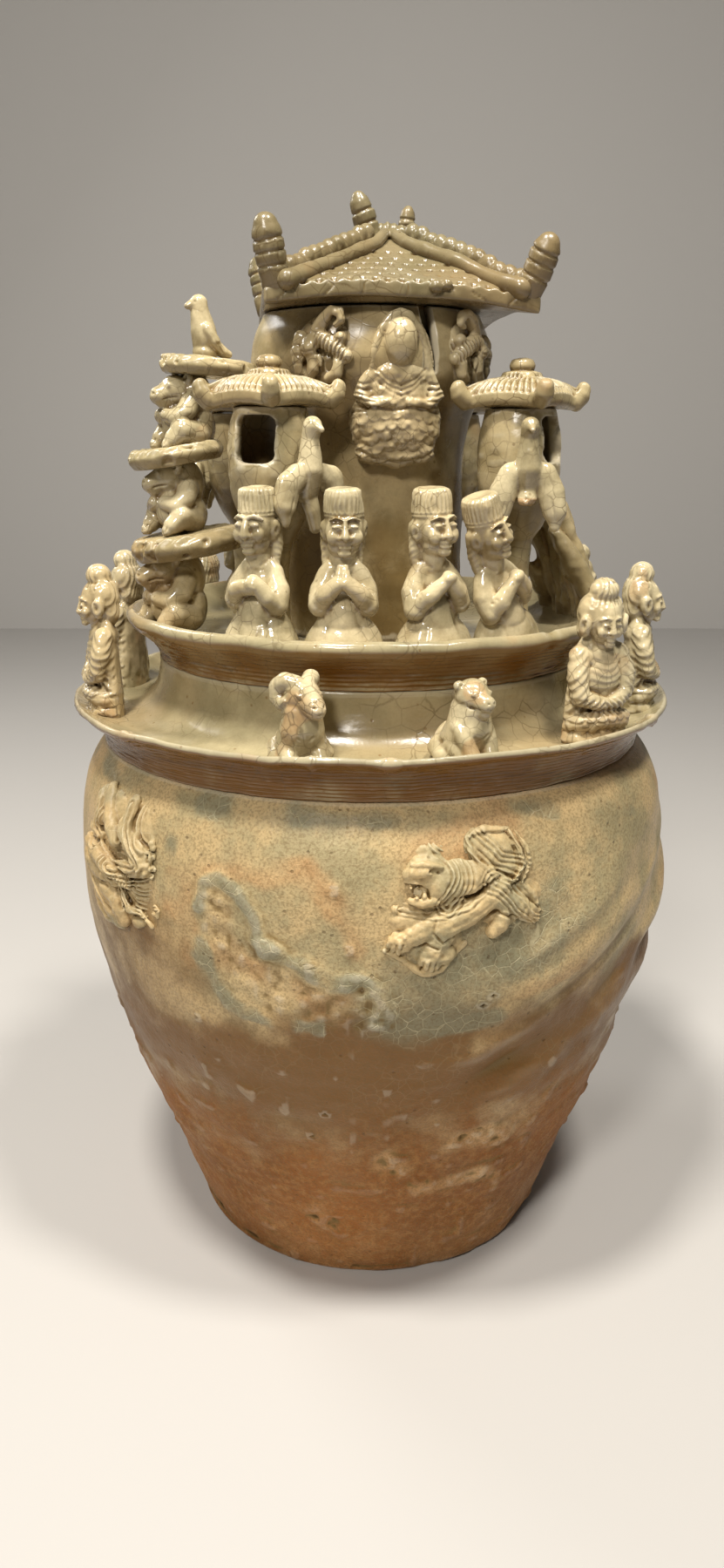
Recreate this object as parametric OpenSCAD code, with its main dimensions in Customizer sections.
// Hunping funerary jar: a thrown jar carrying two dishes, a tower with turrets, figures, animals and a roof lid.
// Front is -Y. Azimuths are counted from the front towards +X. Sizes are in millimetres.

/* [Jar body] */
// Radius of the flat foot
foot_r = 90.5; // [86:0.5:95]
// Radius of the belly at its widest
belly_r = 141; // [137:0.5:146]
// Height of the widest ring
belly_z = 183; // [170:1:192]
// Radius of the crease under the lower dish
crease_r = 126; // [123:0.5:129]
// Height of the jar up to the crease
jar_h = 247; // [240:1:255]
// Thickness of the thrown wall
wall = 7; // [5.5:0.5:8]
// Thickness of the jar floor
jar_floor_t = 9; // [7:0.5:14]

/* [Lower dish] */
// Radius of the rim
lower_rim_r = 138.5; // [135:0.5:141]
// Height of the rim above the crease
lower_rim_rise = 20.7; // [19:0.1:23]
// Height of the dish and its waist above the crease
lower_dish_h = 37; // [35:0.5:41]
// Depth of the trough below the rim
trough_drop = 6.7; // [5.5:0.1:7.5]
// Radius of the waist between the two dishes
waist_r = 99; // [96:0.5:101]

/* [Upper dish] */
// Radius of the rim
upper_rim_r = 113.3; // [111:0.1:116]
// Height of the rim above the waist
upper_rim_rise = 22.3; // [20:0.1:25]
// Radius of the rounded lip
lip_r = 3.2; // [2:0.1:3.6]
// Height of the floor above the waist
dish_floor_rise = 10; // [9:0.5:12]
// Thickness of the floor
dish_floor_t = 6.5; // [5:0.5:7]

/* [Tower] */
// Radius of the column
tower_r = 42; // [39:0.5:44]
// Radius of the shoulder under the roof
tower_shoulder_r = 53; // [50:0.5:54]
// Radius of the mouth
tower_mouth_r = 47; // [45:0.5:49]
// Height of the tower above the dish floor
tower_h = 137; // [132:1:142]
// Thickness of the tower wall
tower_wall = 6; // [4.5:0.5:7]
// Azimuth of the slot opening
slot_turn = 27; // [26:0.5:28]
// Width of the slot opening
slot_w = 6; // [4:0.5:7]
// Height of the slot opening
slot_h = 30; // [20:1:32]

/* [Tower reliefs] */
// Azimuth of the seated figure plaque
plaque_turn = 13; // [12:0.5:14]
// Height of the plaque as a share of the tower's height
plaque_share = 0.438; // [0.4:0.002:0.45]
// Width of the plaque
plaque_w = 43; // [38:1:44]
// Size of the coiled beasts across as a share of the tower's height
beast_share = 0.1825; // [0.16:0.0025:0.195]

/* [Turrets] */
// Radius of the ring the turrets stand on
turret_ring_r = 74; // [73:0.5:76]
// Turn of the turret square to the right of the front
turret_turn = 12; // [10:0.5:14]
// Widest radius of a turret jar
turret_r = 17.5; // [16:0.25:18]
// Radius of a turret foot
turret_foot_r = 8.5; // [7:0.25:9]
// Height of a turret jar as a share of the tower's height
turret_share = 0.708; // [0.688:0.002:0.728]
// Thickness of a turret wall
turret_wall = 4; // [3:0.25:4.5]
// Width of a turret window
window_w = 14; // [10:0.5:16]
// Height of a turret window
window_h = 15; // [10:0.5:17]
// Side of a turret roof
turret_roof_w = 37; // [34:0.5:38]
// Height of a turret roof with its knob as a share of the tower's height
turret_roof_share = 0.146; // [0.126:0.002:0.16]
// Length of a bird from head to tail as a share of the tower's height
bird_share = 0.3212; // [0.28:0.0004:0.334]

/* [Bear tower] */
// Azimuth of the bear tower
bear_turn = -79; // [-81:0.5:-77]
// Radius of the ring it stands on
bear_ring_r = 87; // [85:0.5:88]
// Height of the lowest bear above the dish floor as a share of the tower's height
low_bear_share = 0.27; // [0.256:0.002:0.284]
// Height of the middle and the top bear as a share of the tower's height
bear_share = 0.2263; // [0.2043:0.001:0.2403]
// Thickness of the lowest slab
low_slab_t = 8; // [5:0.5:9]
// Thickness of the upper slabs
slab_t = 5.5; // [4:0.5:7]
// Length of the lowest slab along the ring
slab_l = 46; // [40:1:50]
// Height of the perched bird as a share of the tower's height
perched_share = 0.197; // [0.161:0.002:0.217]

/* [Rocky slab] */
// Azimuth of the rocky slab
rock_turn = 104; // [102:0.5:106]
// Distance of its foot from the rim of the upper dish
rock_inset = 12.3; // [11.3:0.1:14.3]
// Height of the rocky slab above the dish floor as a share of the tower's height
rock_share = 0.482; // [0.424:0.002:0.51]
// Thickness of the rocky slab
rock_t = 7; // [5:0.5:9]

/* [Kneeling figures] */
// Height of a kneeling figure as a share of the tower's height
kneeler_share = 0.4453; // [0.4103:0.001:0.4593]
// Distance of the ring they kneel on from the rim of the upper dish
kneeler_inset = 16.3; // [15.3:0.1:17.3]

/* [Seated figures] */
// Height of a seated figure
seated_h = 67; // [60:0.5:70]
// Distance of the ring they sit on from the rim of the lower dish
seated_inset = 14; // [12.5:0.5:14.5]

/* [Animals] */
// Height of a ram or cub
animal_h = 34; // [30:0.5:36]
// Distance of the ring they rest on from the rim of the lower dish
animal_inset = 17.5; // [16.5:0.5:18.5]

/* [Body reliefs] */
// Height of the relief above the jar
relief_rise = 6; // [4:0.5:7]
// Height of the reliefs on the jar
relief_z = 213; // [208:1:216]

/* [Roof lid] */
// Side of the square roof
roof_w = 110; // [104:1:114]
// Turn of the roof to the right of the front
roof_turn = 6; // [0:0.5:12]
// Shift of the roof to the right of the tower
roof_shift = 7; // [0:0.5:8]
// Thickness of the eaves
eave_t = 6; // [4:0.5:8]
// Height from the eaves to the top ridge
roof_h = 33; // [28:0.5:36]
// Length of the top ridge
ridge_l = 9; // [8:0.5:14]
// Radius of a plain hip roll
hip_roll_r = 3.4; // [2.5:0.1:3.6]
// Radius of a beaded hip roll
bead_roll_r = 3.6; // [2.8:0.1:3.8]
// Beads along one roll
bead_count = 11; // [8:1:13]
// Height of a corner horn
horn_h = 25; // [20:0.5:28]
// Radius of a corner horn
horn_r = 6; // [5:0.25:6.5]
// Height of the larger top horn
top_horn_h = 18; // [14:0.5:20]
// Depth of the locating collar in the tower mouth
collar_h = 10; // [6:0.5:14]
// Thickness of the locating collar
collar_t = 5; // [3.5:0.5:6]

/* [Fits] */
// Gap left for slip between luted pieces
lute_gap = 0.3; // [0.2:0.05:0.4]
// Gap under the lid where it rests on the tower
lid_gap = 0.3; // [0.2:0.05:0.5]
// Clearance of the collar in the tower mouth
collar_gap = 0.8; // [0.5:0.1:1.5]

/* [Hidden] */
lower_rim_z = jar_h + lower_rim_rise;
trough_z = lower_rim_z - trough_drop;
trough_r = (lower_rim_r + waist_r) / 2;
waist_z = jar_h + lower_dish_h;
upper_rim_z = waist_z + upper_rim_rise;
floor_z = waist_z + dish_floor_rise;
tower_top_z = floor_z + tower_h;
plaque_h = plaque_share * tower_h;
beast_d = beast_share * tower_h;
turret_h = turret_share * tower_h;
turret_roof_h = turret_roof_share * tower_h;
bird_l = bird_share * tower_h;
low_bear_h = low_bear_share * tower_h;
bear_h = bear_share * tower_h;
perched_h = perched_share * tower_h;
rock_h = rock_share * tower_h;
kneeler_h = kneeler_share * tower_h;
rock_ring_r = upper_rim_r - rock_inset;
kneeler_ring_r = upper_rim_r - kneeler_inset;
seated_ring_r = lower_rim_r - seated_inset;
animal_ring_r = lower_rim_r - animal_inset;
turret_top_z = floor_z + turret_h;
low_slab_z = floor_z + low_bear_h;
mid_bear_z = low_slab_z + low_slab_t;
mid_slab_z = mid_bear_z + bear_h;
top_bear_z = mid_slab_z + slab_t;
top_slab_z = top_bear_z + bear_h;
perch_z = top_slab_z + slab_t;
roof_z = tower_top_z + lid_gap;
hip_l = norm([roof_w / 2 - ridge_l / 2, roof_w / 2 - 2.5, roof_h - eave_t]);
turret_turns = [turret_turn - 45, turret_turn + 45, turret_turn + 135, turret_turn - 135];
window_turns = [turret_turn - 32, turret_turn + 45, turret_turn + 135, turret_turn - 135];

// Points of a curve between two ends, pulled towards two handles
function curve(a, b, c, d, n, first = 0) = [
    for (i = [first:n])
        let (t = i / n, u = 1 - t)
        a * u * u * u + 3 * b * t * u * u + 3 * c * t * t * u + d * t * t * t
];

function reversed(p) = [for (i = [len(p) - 1:-1:0]) p[i]];

// Side of the jar from the foot to the crease, moved in by t
function jar_side(t, z0) = concat(
    curve([foot_r - t, z0], [foot_r + 21.5 - t, 70], [belly_r - t, belly_z - 55], [belly_r - t, belly_z], 9),
    curve([belly_r - t, belly_z], [belly_r - t, belly_z + 22], [belly_r - t, jar_h - 11], [crease_r - t, jar_h], 8, 1)
);

// Side of the tower from the dish floor to the mouth, moved in by t
function tower_side(t) = concat(
    [[tower_r - t, floor_z]],
    curve([tower_r - t, floor_z + 0.56 * tower_h], [tower_r - t, floor_z + 0.72 * tower_h],
        [tower_shoulder_r - t, floor_z + 0.76 * tower_h], [tower_shoulder_r - t, floor_z + 0.86 * tower_h], 7),
    curve([tower_shoulder_r - t, floor_z + 0.86 * tower_h], [tower_shoulder_r - t, floor_z + 0.93 * tower_h],
        [tower_mouth_r + 2 - t, tower_top_z - 5], [tower_mouth_r - t, tower_top_z], 5, 1)
);

// Side of a turret jar from its foot to the widest ring, moved out by g
function turret_side(g) = concat(
    curve([turret_foot_r + g, 0], [turret_foot_r - 3 + g, 0.15 * turret_h], [turret_foot_r - 3 + g, 0.36 * turret_h],
        [turret_foot_r - 1 + g, 0.46 * turret_h], 5),
    curve([turret_foot_r - 1 + g, 0.46 * turret_h], [turret_foot_r + 4 + g, 0.54 * turret_h],
        [turret_r + g, 0.62 * turret_h], [turret_r + g, 0.78 * turret_h], 6, 1)
);

// Places a child at an azimuth, a radius and a height, facing outwards
module ring(turn, r, z) {
    rotate([0, 0, turn]) translate([0, -r, z]) children();
}

// Clay roll between two points
module roll(a, b, ra, rb, n = 6) {
    hull() {
        translate(a) sphere(r = ra, $fn = n);
        translate(b) sphere(r = rb, $fn = n);
    }
}

// The same roll on both sides of the middle
module pair(a, b, ra, rb, n = 6) {
    for (s = [-1, 1])
        roll([s * a[0], a[1], a[2]], [s * b[0], b[1], b[2]], ra, rb, n);
}

// Straight piece along the line from a to b, drawn along Z
module along(a, b) {
    v = b - a;
    translate(a) rotate([0, acos(v[2] / norm(v)), atan2(v[1], v[0])]) children();
}

// Top of the lower dish from the rim to the waist, raised by g
function lower_dish_top(g) = concat(
    curve([lower_rim_r - 0.6, lower_rim_z + g], [lower_rim_r - 8, lower_rim_z - 5 + g], [lower_rim_r - 13, trough_z + g],
        [trough_r, trough_z + g], 6),
    curve([trough_r, trough_z + g], [trough_r - 11, trough_z + g], [waist_r + 0.5 + g, trough_z + 7],
        [waist_r + g, waist_z], 7, 1)
);

// Top of the upper dish from the lip to the floor, raised by g
function upper_dish_top(g) =
    curve([upper_rim_r - lip_r, upper_rim_z + g], [upper_rim_r - 8, upper_rim_z - 5 + g], [waist_r - 1, floor_z + g],
        [waist_r - 10, floor_z + g], 6);

module lower_dish_outline() {
    polygon(concat(
        [[crease_r - wall, jar_h]],
        curve([crease_r, jar_h], [crease_r + 1, jar_h + 9], [lower_rim_r - 7, lower_rim_z - 6],
            [lower_rim_r, lower_rim_z - 3.2], 6),
        [[lower_rim_r + 0.4, lower_rim_z - 1.6]],
        lower_dish_top(0),
        curve([waist_r - wall, waist_z], [waist_r - wall, trough_z + 2], [waist_r + 2, trough_z - wall],
            [trough_r - 6, trough_z - wall], 6)
    ));
}

module upper_dish_outline() {
    polygon(concat(
        [[waist_r - wall, waist_z]],
        curve([waist_r, waist_z], [waist_r + 0.5, waist_z + 8], [upper_rim_r - 6, upper_rim_z - 10],
            [upper_rim_r - 1.2, upper_rim_z - 6.4], 6),
        [for (a = [-30:30:60]) [upper_rim_r - lip_r * (1 - cos(a)), upper_rim_z - lip_r * (1 - sin(a))]],
        upper_dish_top(0),
        [
            [tower_r - tower_wall, floor_z],
            [tower_r - tower_wall, floor_z - dish_floor_t],
            [waist_r - wall - 8, floor_z - dish_floor_t]
        ]
    ));
}

// Takes the jar's outside away from a piece that is luted to it
module on_jar() {
    difference() {
        children();
        rotate_extrude($fn = 96)
            polygon(concat([[0, 0]], jar_side(-lute_gap, 0), [[0, jar_h]]));
    }
}

// Takes the lower dish away from a piece that sits on it
module on_lower_dish() {
    difference() {
        children();
        rotate_extrude($fn = 96)
            polygon(concat(
                [[lower_rim_r + 8, jar_h - 30], [lower_rim_r + 8, lower_rim_z + lute_gap]],
                lower_dish_top(lute_gap),
                [[waist_r - wall, waist_z], [waist_r - wall, jar_h - 30]]
            ));
    }
}

// Takes the upper dish away from a piece that sits on it
module on_upper_dish() {
    difference() {
        children();
        rotate_extrude($fn = 96)
            polygon(concat(
                [[upper_rim_r + 8, waist_z - 20], [upper_rim_r + 8, upper_rim_z + lute_gap]],
                upper_dish_top(lute_gap),
                [[0, floor_z + lute_gap], [0, waist_z - 20]]
            ));
    }
}

// Takes the tower away from a piece that is luted to it
module on_tower() {
    difference() {
        children();
        rotate_extrude($fn = 72)
            polygon(concat([[0, floor_z]], tower_side(-lute_gap), [[0, tower_top_z]]));
    }
}

// Keeps what lies between two levels
module between(z0, z1) {
    intersection() {
        children();
        translate([-200, -200, z0]) cube([400, 400, z1 - z0]);
    }
}

module jar_body() {
    color("tan")
        rotate_extrude($fn = 96)
            polygon(concat([[0, 0]], jar_side(0, 0), reversed(jar_side(wall, jar_floor_t)), [[0, jar_floor_t]]));
}

module lower_dish() {
    color("tan") rotate_extrude($fn = 96) lower_dish_outline();
}

module upper_dish() {
    color("tan") rotate_extrude($fn = 96) upper_dish_outline();
}

module tower_column() {
    color("tan")
        difference() {
            rotate_extrude($fn = 72) polygon(concat(tower_side(0), reversed(tower_side(tower_wall))));
            ring(slot_turn, tower_shoulder_r, tower_top_z - slot_h + slot_w / 2) {
                translate([-slot_w / 2, -5, 0]) cube([slot_w, 30, slot_h]);
                translate([0, 25, 0]) rotate([90, 0, 0]) cylinder(h = 30, r = slot_w / 2, $fn = 24);
            }
        }
}

// Gourd-shaped plaque with a hooded head above a wide robe
module plaque(turn) {
    k = plaque_h / 60;
    w = plaque_w / 42;
    on_tower()
        ring(turn, tower_r + 4, tower_top_z - plaque_h - 2)
            scale([w, 1, k]) {
                hull() {
                    pair([9, 0, 10], [8, -1, 18], 9, 9, 8);
                    pair([11, 3, 14], [12, 1, 22], 8, 8, 8);
                }
                hull()
                    pair([12, 1, 22], [8, -5, 35], 8, 6, 8);
                hull()
                    pair([8, -5, 35], [5, -7, 40], 6, 6, 8);
                roll([0, -5, 40], [0, -6, 50], 11, 9.6, 8);
                roll([0, -11, 43], [0, -12, 49], 6.6, 6.2, 8);
                pair([10, -2, 36], [10.5, -5, 27], 5, 4.6);
                pair([10.5, -5, 27], [2, -8.5, 25], 4.4, 3.6);
            }
}

module plaque_front() {
    color("khaki") plaque(plaque_turn);
}

module plaque_back() {
    color("khaki") plaque(plaque_turn + 180);
}

// Beast coiled in a ring with its head turned out
module beast(turn) {
    k = beast_d / 25;
    on_tower()
        ring(turn, tower_shoulder_r - 2, tower_top_z - 0.6 * beast_d)
            scale(k) {
                for (a = [0:45:270])
                    roll([8 * cos(a), -2.5, 8.5 * sin(a)], [8 * cos(a + 45), -2.5, 8.5 * sin(a + 45)], 3.4, 3.4);
                roll([0, -3, -8], [3, -6, -1], 3.2, 4);
                roll([3, -6, -1], [6, -8, 2], 3.8, 2.6);
                roll([3, -5.5, 0], [1, -5, 6], 2.4, 1.4);
            }
}

module beast_left() {
    color("khaki") beast(turret_turn - 34);
}

module beast_right() {
    color("khaki") beast(turret_turn + 38);
}

// Small waisted jar with a square window under the eaves
module turret_jar(i) {
    color("tan")
        ring(turret_turns[i], turret_ring_r, floor_z)
            difference() {
                rotate_extrude($fn = 48)
                    polygon(concat(
                        [[0, 0]],
                        turret_side(0),
                        curve([turret_r, 0.78 * turret_h], [turret_r, 0.88 * turret_h],
                            [turret_r - 1.5, 0.95 * turret_h], [turret_r - 3, turret_h], 4, 1),
                        [
                            [turret_r - 3 - turret_wall, turret_h],
                            [turret_r - turret_wall, 0.85 * turret_h],
                            [turret_r - turret_wall, 0.74 * turret_h],
                            [turret_r - turret_wall - 4, 0.64 * turret_h],
                            [0, 0.6 * turret_h]
                        ]
                    ));
                rotate([0, 0, window_turns[i] - turret_turns[i]])
                    translate([-window_w / 2, -30, turret_h - window_h - 3]) cube([window_w, 30, window_h]);
            }
}

module turret_jar_1() {
    turret_jar(0);
}

module turret_jar_2() {
    turret_jar(1);
}

module turret_jar_3() {
    turret_jar(2);
}

module turret_jar_4() {
    turret_jar(3);
}

// Square roof with rolls on the hips, knobs at the corners and a stepped knob on top
module turret_roof(i) {
    w = turret_roof_w;
    h = turret_roof_h;
    c = w / 2;
    color("tan")
        on_tower()
            ring(turret_turns[i], turret_ring_r, turret_top_z + lute_gap)
                rotate([0, 0, window_turns[i] - turret_turns[i]]) {
                    hull() {
                        translate([-c, -c, 0]) cube([w, w, 2.6]);
                        translate([-4, -4, 0.5 * h - 1]) cube([8, 8, 1]);
                    }
                    for (s = [-1, 1], t = [-1, 1]) {
                        roll([s * (c - 2), t * (c - 2), 2.8], [s * 3, t * 3, 0.5 * h], 1.9, 1.6, 5);
                        roll([s * (c - 2), t * (c - 2), 3], [s * (c + 0.5), t * (c + 0.5), 5], 2.6, 2.6, 5);
                    }
                    hull() {
                        translate([0, 0, 0.5 * h - 1]) cylinder(h = 3.5, r = 6.4, $fn = 10);
                        translate([0, 0, 0.5 * h + 3]) cylinder(h = 1, r = 4.6, $fn = 10);
                    }
                    roll([0, 0, 0.5 * h + 4], [0, 0, h - 2.6], 3.4, 2.6, 8);
                }
}

module turret_roof_1() {
    turret_roof(0);
}

module turret_roof_2() {
    turret_roof(1);
}

module turret_roof_3() {
    turret_roof(2);
}

module turret_roof_4() {
    turret_roof(3);
}

// Bird clinging to a turret jar with its head up and its wings spread
module bird(i, turn) {
    k = bird_l / 44;
    color("khaki")
        difference() {
            ring(turret_turns[i], turret_ring_r, turret_top_z - 0.64 * bird_l - 3)
                rotate([0, 0, turn - turret_turns[i]])
                    translate([0, -turret_r + 0.5, 0]) scale(k) {
                        roll([0, -3.2, 0], [0, -5.4, 9], 4.2, 4.2);
                        roll([0, -5.4, 9], [0, -5.6, 19], 4, 2.8);
                        roll([0, -5.6, 19], [0, -7, 24], 2.8, 3.1);
                        roll([0, -7, 24], [0, -10.5, 22.5], 2, 0.9);
                        pair([3, -4, 6], [10.5, -4.5, -3], 3.6, 3.2);
                        pair([10.5, -4.5, -3], [12.6, -5.5, -9], 3.2, 2.2);
                        roll([0, -3.2, 0], [1, -5, -14], 3.6, 2.4);
                    }
            ring(turret_turns[i], turret_ring_r, floor_z)
                rotate_extrude($fn = 48)
                    polygon(concat(
                        [[0, 0]],
                        turret_side(lute_gap),
                        [[turret_r + lute_gap, turret_h], [0, turret_h]]
                    ));
        }
}

module bird_1() {
    bird(0, turret_turn + 34);
}

module bird_2() {
    bird(1, turret_turn - 10);
}

module bird_3() {
    bird(2, turret_turn + 100);
}

module bird_4() {
    bird(3, turret_turn - 112);
}

// Squatting bear with its paws on its belly
module bear(h) {
    k = h / 31;
    scale(k) {
        hull() {
            translate([0, 2, 4]) sphere(r = 9.5, $fn = 8);
            translate([0, 2, 16]) sphere(r = 8.5, $fn = 8);
        }
        roll([0, -2, 21], [0, -4, 25.5], 8, 7, 8);
        roll([0, -8, 22], [0, -12, 20], 4.6, 3);
        pair([6, 0, 28], [7, 1, 30], 2.6, 2.2, 5);
        pair([8, -1, 15], [9.5, -7, 10], 3.6, 3.2);
        pair([9.5, -7, 10], [3, -10, 12], 3.2, 2.8);
        pair([8, -2, 5], [9, -10, 6], 4.6, 3.6);
        pair([9, -10, 6], [8, -11, 0], 3.4, 3);
    }
}

module bear_low() {
    color("khaki")
        between(floor_z - 10, low_slab_z - lute_gap)
            on_upper_dish()
                ring(bear_turn, bear_ring_r + 3, floor_z + 2) bear(low_bear_h - 2);
}

module bear_middle() {
    color("khaki")
        between(mid_bear_z + lute_gap, mid_slab_z - lute_gap)
            ring(bear_turn, bear_ring_r, mid_bear_z) rotate([0, 0, 20]) bear(bear_h);
}

module bear_top() {
    color("khaki")
        between(top_bear_z + lute_gap, top_slab_z - lute_gap)
            ring(bear_turn, bear_ring_r - 5, top_bear_z) rotate([0, 0, -15]) bear(bear_h);
}

module slab_low() {
    color("tan")
        ring(bear_turn, bear_ring_r - 4, low_slab_z)
            scale([slab_l / 46, 1.05, 1]) cylinder(h = low_slab_t, r = 23, $fn = 48);
}

module slab_middle() {
    color("tan")
        ring(bear_turn, bear_ring_r, mid_slab_z)
            scale([0.9, 1, 1]) cylinder(h = slab_t, r = 20, $fn = 48);
}

module slab_top() {
    color("tan")
        difference() {
            ring(bear_turn, bear_ring_r - 15, top_slab_z)
                scale([0.8, 1, 1]) cylinder(h = slab_t, r = 21, $fn = 48);
            translate([0, 0, top_slab_z - 1]) cylinder(h = slab_t + 2, r = tower_shoulder_r + lute_gap, $fn = 72);
        }
}

module perched_bird() {
    k = perched_h / 27;
    color("khaki")
        between(perch_z + lute_gap, perch_z + perched_h)
            ring(bear_turn, bear_ring_r - 14, perch_z)
                scale(k) {
                    roll([0, 0, 0], [0, 0, 4], 6, 5, 8);
                    roll([0, 1, 6], [0, -1, 13], 5.6, 5, 8);
                    roll([0, -1, 13], [0, -2, 20], 4.2, 3, 8);
                    roll([0, -2, 20], [0, -3, 23], 3.2, 3.6, 8);
                    roll([0, -4, 23], [0, -8, 22], 2, 0.8);
                    pair([4, 1, 12], [5, 5, 4], 2.6, 1.8);
                    roll([0, 4, 6], [0, 10, 3], 3, 1.8);
                }
}

// Leaning rocky slab with folds
module rock_slab() {
    k = rock_h / 66;
    r = rock_t / 2;
    color("tan")
        on_upper_dish()
            ring(rock_turn, rock_ring_r, floor_z)
                scale([1, 1, k])
                    for (i = [-3:2]) {
                        hull() {
                            translate([i * 9, 4 + abs(i) * 0.4, 0]) sphere(r = r, $fn = 8);
                            translate([i * 9 + 9, 3 + abs(i + 1) * 0.4, 0]) sphere(r = r, $fn = 8);
                            translate([i * 8, 8, 36 - abs(i)]) sphere(r = r, $fn = 8);
                            translate([i * 8 + 8, 7, 36 - abs(i + 1)]) sphere(r = r, $fn = 8);
                        }
                        hull() {
                            translate([i * 8, 8, 36 - abs(i)]) sphere(r = r, $fn = 8);
                            translate([i * 8 + 8, 7, 36 - abs(i + 1)]) sphere(r = r, $fn = 8);
                            translate([i * 6, 14, 66 - 2.5 * abs(i)]) sphere(r = r, $fn = 8);
                            translate([i * 6 + 6, 14, 66 - 2.5 * abs(i + 1)]) sphere(r = r, $fn = 8);
                        }
                    }
}

// Kneeling figure with folded arms, a spread skirt and a tall cap
module kneeler(turn, face, w, lean) {
    k = kneeler_h / 61;
    color("khaki")
        on_upper_dish()
            ring(turn, kneeler_ring_r, floor_z + 8)
                rotate([0, 0, face]) rotate([0, lean, 0]) scale([k * w, k, k]) {
                    hull() {
                        translate([0, 0, -9]) scale([1.45, 0.95, 1]) cylinder(h = 10, r = 10, $fn = 10);
                        translate([0, 0.5, 19]) sphere(r = 7, $fn = 8);
                    }
                    hull() {
                        translate([0, 0.5, 20]) sphere(r = 7.4, $fn = 6);
                        pair([6, 0.5, 34], [5, 0.5, 35.5], 5.6, 5.6);
                    }
                    pair([10, 0.5, 35], [12.8, -2, 27], 4.4, 4.2);
                    pair([12.8, -2, 27], [3, -8.6, 30], 4, 3.2);
                    roll([0, 0, 39], [0, 0, 44], 4.4, 4.4);
                    roll([0, -0.5, 46], [0, -0.5, 52], 6.8, 7.2, 8);
                    hull() {
                        translate([0, 0, 54.5]) cylinder(h = 1.5, r = 7.4, $fn = 10);
                        translate([0, 0.6, 60.5]) cylinder(h = 0.5, r = 6.6, $fn = 10);
                    }
                }
}

module kneeler_1() {
    kneeler(-27, 6, 1, 0);
}

module kneeler_2() {
    kneeler(-6.5, 6, 1, 0);
}

module kneeler_3() {
    kneeler(14.5, 12, 0.92, 0);
}

module kneeler_4() {
    kneeler(32, 32, 0.88, -15);
}

module kneeler_5() {
    kneeler(161, 0, 1, 0);
}

module kneeler_6() {
    kneeler(181, 0, 1, 0);
}

module kneeler_7() {
    kneeler(-159, 0, 1, 0);
}

module kneeler_8() {
    kneeler(-139, 0, 1, 0);
}

// Seated figure with crossed legs, a hood behind the head and a top knot
module seated(turn, face) {
    k = seated_h / 67;
    color("khaki")
        on_lower_dish()
            ring(turn, seated_ring_r, trough_z)
                rotate([0, 0, face]) scale([1.1 * k, k, k]) {
                    hull() {
                        pair([9.5, -3, -3], [9.5, 3, -3], 5, 5);
                        pair([9.5, -3, 5], [9.5, 3, 6], 5, 4.5);
                    }
                    hull() {
                        pair([8, 0, 10], [8.4, 0.5, 14], 6, 5.8);
                        pair([6.5, 1, 35], [6, 1, 37], 5.6, 5);
                    }
                    pair([9, 0.5, 36], [11.2, -2, 24], 4.2, 3.8);
                    pair([11.2, -2, 24], [2.5, -7.4, 22], 3.6, 3);
                    roll([0, 0, 40], [0, 0, 44], 4.4, 4.4);
                    roll([0, -1, 47], [0, -1, 52], 7, 7.4, 8);
                    roll([0, 3, 45], [0, 3.4, 53], 8.6, 8.4);
                    roll([0, 0, 59], [0, 0.5, 62.4], 5, 4.4);
                }
}

module seated_1() {
    seated(47, 0);
}

module seated_2() {
    seated(77, 0);
}

module seated_3() {
    seated(-73, 0);
}

module seated_4() {
    seated(-103, 0);
}

module seated_5() {
    seated(119, 0);
}

module seated_6() {
    seated(143, 0);
}

module seated_7() {
    seated(-133, 0);
}

// Resting body with bent forelegs, shared by the ram and the cub
module animal_body() {
    roll([0, 5, 8], [0, -3, 10], 9, 8.6, 8);
    roll([0, -3, 10], [0, -4.5, 21], 8.2, 6.6, 8);
    pair([6, -5, 5], [6.4, -10.5, 3], 3.6, 3.2);
    pair([7, 5, 4], [8.5, 0, 2], 4.2, 3.4);
}

module ram(turn, face) {
    k = animal_h / 34;
    color("khaki")
        on_lower_dish()
            ring(turn, animal_ring_r, trough_z)
                rotate([0, 0, face]) scale(k) {
                    animal_body();
                    roll([0, -5, 26], [0, -12.5, 22], 6.2, 4);
                    pair([3, -3, 30], [8.6, -1, 28], 2.6, 2.8);
                    pair([8.6, -1, 28], [9.6, -6, 23], 2.8, 2.2);
                    pair([9.6, -6, 23], [8, -9.5, 25.5], 2.2, 1.4);
                }
}

module cub(turn, face) {
    k = animal_h / 34;
    color("khaki")
        on_lower_dish()
            ring(turn, animal_ring_r, trough_z)
                rotate([0, 0, face]) scale(k) {
                    animal_body();
                    roll([0, -4.5, 26], [0, -7, 27], 7, 6.4, 8);
                    roll([0, -9, 25], [0, -13, 23.6], 4, 3);
                    pair([5.6, -3, 31], [6.2, -2.6, 32.4], 2.2, 1.6, 5);
                    pair([5.5, -5, 16], [4.5, -10, 5], 3.4, 2.8);
                }
}

module ram_1() {
    ram(-13, 25);
}

module cub_1() {
    cub(17, 10);
}

module ram_2() {
    ram(167, 0);
}

module cub_2() {
    cub(-163, 0);
}

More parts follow.
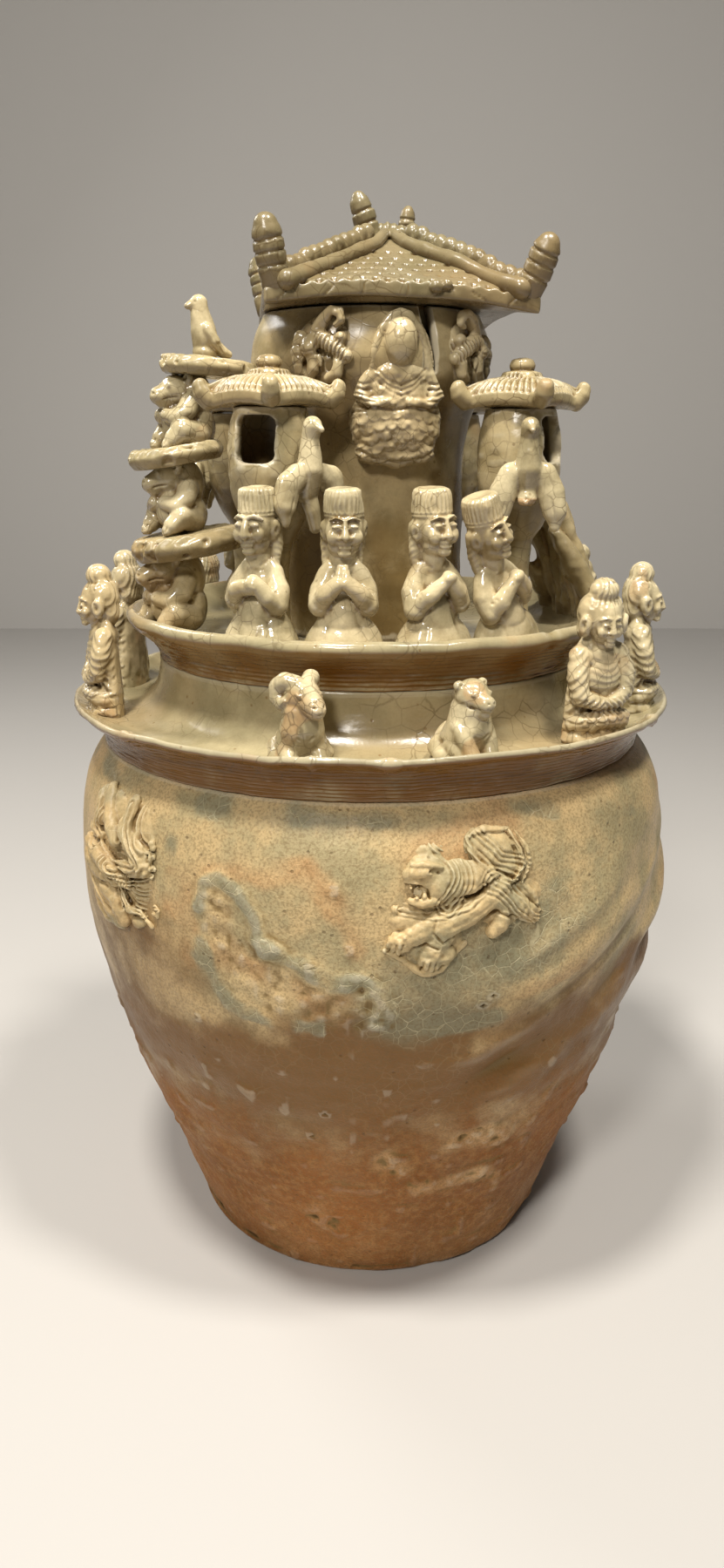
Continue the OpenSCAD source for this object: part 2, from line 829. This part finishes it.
// Upright beast relief with a curled tail
module beast_relief(turn) {
    k = relief_rise / 6;
    color("khaki")
        on_jar()
            ring(turn, belly_r - 3, relief_z)
                scale([1, k, 1]) {
                    roll([-4, -1, -20], [2, -3, -4], 7, 8);
                    roll([2, -3, -4], [-2, -3, 10], 8, 6.4);
                    roll([-2, -4, 14], [-8, -4.5, 16], 6, 4);
                    roll([0, -1, -20], [14, -1, -6], 5, 4.4);
                    roll([14, -1, -6], [11, -2, 8], 4, 4.4);
                    roll([11, -2, 8], [5, -2, 20], 4, 3.4);
                    roll([-6, -1, -22], [-15, 0, -14], 4.6, 3.8);
                    roll([-8, -2, 2], [-14, 0, 0], 4, 3.4);
                    roll([4, -1, 21], [-8, -1, 23], 4, 3.4);
                }
}

// Winged lion relief striding up to the right
module lion_relief(turn) {
    k = relief_rise / 6;
    color("khaki")
        on_jar()
            ring(turn, belly_r - 3, relief_z)
                scale([1, k, 1]) rotate([0, -14, 0]) {
                    roll([-10, -2, -2], [12, 0, -4], 8, 7.4);
                    roll([-14, -3, 6], [-15, -3, 12], 8, 7);
                    roll([-20, -2.5, 9], [-23, -2, 8], 4.4, 3.4);
                    roll([-16, 0, -8], [-20, 1, -20], 4.6, 3.6);
                    roll([-8, -1, -10], [-9, 0, -21], 4.4, 3.4);
                    roll([12, 1, -10], [10, 1, -20], 5, 3.6);
                    roll([14, 0.5, -6], [21, 2.5, -17], 5.4, 4.2);
                    roll([2, -1, 4], [12, 0, 16], 5, 4);
                    roll([8, 0, 4], [22, 3, 12], 5, 4);
                    roll([14, 1, 0], [26, 5, 4], 5, 4.4);
                }
}

module relief_1() {
    beast_relief(-46);
}

module relief_2() {
    lion_relief(17);
}

module relief_3() {
    beast_relief(137);
}

module relief_4() {
    lion_relief(-137);
}

// Roof body above the eaves line, moved out by g
module roof_shape(g) {
    hull() {
        translate([-roof_w / 2 - g, -roof_w / 2 - g, roof_z - g])
            cube([roof_w + 2 * g, roof_w + 2 * g, eave_t + 2 * g]);
        translate([-ridge_l / 2 - g, -2.5 - g, roof_z + roof_h - 2 - g])
            cube([ridge_l + 2 * g, 5 + 2 * g, 2 + 2 * g]);
    }
}

// Turns and shifts the roof on the tower
module on_lid() {
    translate([roof_shift, 0, 0]) rotate([0, 0, roof_turn]) children();
}

module roof_slab() {
    collar_r = tower_mouth_r - tower_wall - collar_gap;
    color("tan")
        union() {
            on_lid() roof_shape(0);
            translate([0, 0, roof_z - collar_h])
                difference() {
                    cylinder(h = collar_h + 1, r = collar_r, $fn = 72);
                    translate([0, 0, -1]) cylinder(h = collar_h + 1, r = collar_r - collar_t, $fn = 72);
                }
        }
}

// Draws a child along each hip, moved sideways by d and raised by u, over the share of the hip from t0 to t1
module on_hips(d, u, t0, t1) {
    for (s = [-1, 1], t = [-1, 1]) {
        a = [s * roof_w / 2, t * roof_w / 2, roof_z + eave_t];
        b = [s * ridge_l / 2, t * 2.5, roof_z + roof_h];
        n = [-s * d / sqrt(2), t * d / sqrt(2), u];
        along(a + (b - a) * t0 + n, a + (b - a) * t1 + n) children();
    }
}

module hip_rolls() {
    color("tan")
        on_lid()
            difference() {
                on_hips(hip_roll_r + bead_roll_r + lute_gap, -1, 0.16, 0.84)
                    cylinder(h = 0.68 * hip_l, r = hip_roll_r, $fn = 24);
                roof_shape(lute_gap);
            }
}

// Round bar swollen into beads along its length
module beaded_bar(l) {
    rotate_extrude($fn = 24)
        polygon(concat(
            [[0, 0]],
            [
                for (i = [0:6 * bead_count])
                    [bead_roll_r * (0.72 + 0.28 * abs(sin(30 * i))), l * i / (6 * bead_count)]
            ],
            [[0, l]]
        ));
}

module beaded_rolls() {
    color("tan")
        on_lid()
            difference() {
                on_hips(0, 1.6, 0.14, 0.84) beaded_bar(0.7 * hip_l);
                roof_shape(lute_gap);
            }
}

// Blunt horn with three rings cut around it
module horn(h, r) {
    rotate_extrude($fn = 32)
        polygon(concat(
            [[0, 0], [0.8 * r, 0], [r, 0.2 * h]],
            [for (i = [0:2]) each [[r, (0.3 + 0.16 * i) * h], [0.88 * r, (0.33 + 0.16 * i) * h], [r, (0.36 + 0.16 * i) * h]]],
            [for (a = [0:18:90]) [r * cos(a), 0.76 * h + 0.24 * h * sin(a)]]
        ));
}

module corner_horns() {
    color("tan")
        on_lid()
            difference() {
                for (s = [-1, 1], t = [-1, 1])
                    translate([s * (roof_w / 2 - 4.5), t * (roof_w / 2 - 4.5), roof_z + eave_t - 3])
                        rotate([-t * 13, s * 13, 0]) horn(horn_h, horn_r);
                roof_shape(lute_gap);
            }
}

// Round bar along the top of the roof, thickened by g
module ridge_bar(g) {
    translate([-ridge_l / 2 + 0.5 - g, 0, roof_z + roof_h])
        rotate([0, 90, 0]) cylinder(h = ridge_l - 1 + 2 * g, r = 3.4 + g, $fn = 32);
}

module top_ridge() {
    color("tan")
        on_lid()
            difference() {
                ridge_bar(0);
                roof_shape(lute_gap);
            }
}

module top_horns() {
    color("tan")
        on_lid()
            difference() {
                union() {
                    translate([-ridge_l / 2 - 3.4, 0, roof_z + roof_h - 4])
                        rotate([0, -12, 0]) horn(top_horn_h, 4.6);
                    translate([ridge_l / 2 + 3, 0, roof_z + roof_h - 4])
                        rotate([0, 8, 0]) horn(0.75 * top_horn_h, 3.6);
                }
                roof_shape(lute_gap);
                ridge_bar(lute_gap);
            }
}

module eave_pellet() {
    color("khaki")
        on_lid()
            difference() {
                roll([12.5, -roof_w / 2, roof_z + 5], [16.5, -roof_w / 2, roof_z + 6], 2.6, 2.2, 8);
                roof_shape(lute_gap);
            }
}

jar_body();
lower_dish();
upper_dish();
tower_column();
plaque_front();
plaque_back();
beast_left();
beast_right();
turret_jar_1();
turret_jar_2();
turret_jar_3();
turret_jar_4();
turret_roof_1();
turret_roof_2();
turret_roof_3();
turret_roof_4();
bird_1();
bird_2();
bird_3();
bird_4();
bear_low();
bear_middle();
bear_top();
slab_low();
slab_middle();
slab_top();
perched_bird();
rock_slab();
kneeler_1();
kneeler_2();
kneeler_3();
kneeler_4();
kneeler_5();
kneeler_6();
kneeler_7();
kneeler_8();
seated_1();
seated_2();
seated_3();
seated_4();
seated_5();
seated_6();
seated_7();
ram_1();
cub_1();
ram_2();
cub_2();
relief_1();
relief_2();
relief_3();
relief_4();
roof_slab();
hip_rolls();
beaded_rolls();
corner_horns();
top_ridge();
top_horns();
eave_pellet();
